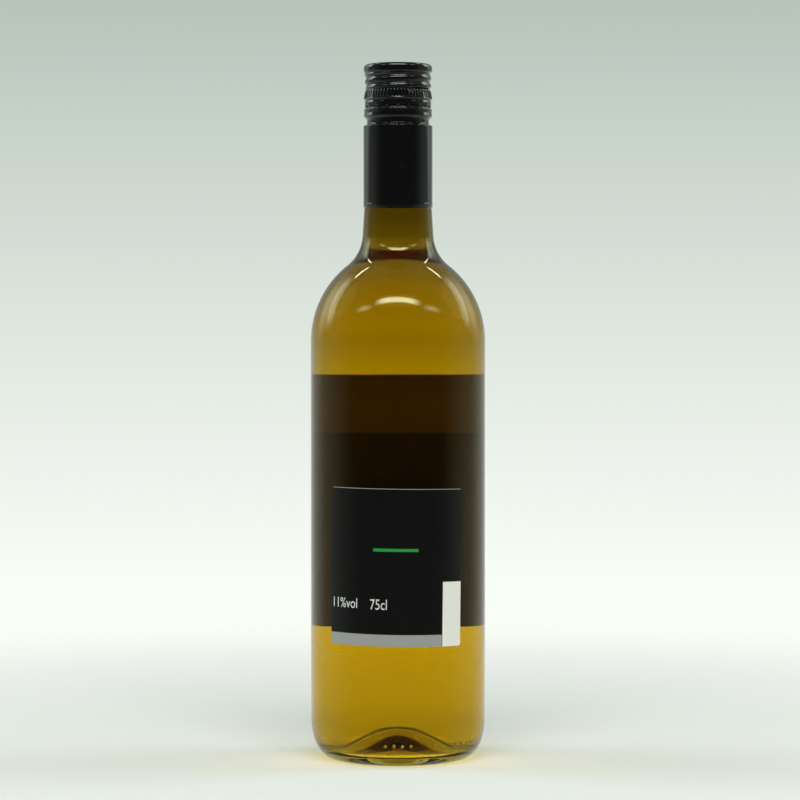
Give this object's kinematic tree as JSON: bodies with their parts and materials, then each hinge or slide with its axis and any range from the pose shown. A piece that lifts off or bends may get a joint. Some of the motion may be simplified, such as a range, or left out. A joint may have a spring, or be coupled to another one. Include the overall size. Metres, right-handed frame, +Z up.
{
  "type": "wine bottle",
  "caption": "Straight-sided glass wine bottle full of white wine, shut by a long-skirt screw closure, with paper labels front and back; stands on its base.",
  "frame": {"origin": "on the table under the middle of the bottle", "axes": "+Z up the bottle's axis; the back label faces -Y and the front label +Y"},
  "size_m": [0.0748, 0.075, 0.2968],
  "materials": {
    "bottle_glass": "clear olive-tinted, polished",
    "white_wine": "clear golden liquid",
    "closure_black": "gloss black lacquer on rolled aluminium",
    "label_paper": "satin black printed paper"
  },
  "bodies": {
    "root": {"glass_bottle": "bottle_glass", "wine": "white_wine", "screw_cap": "closure_black", "back_label": "label_paper", "front_label": "label_paper"}
  },
  "joints": []
}
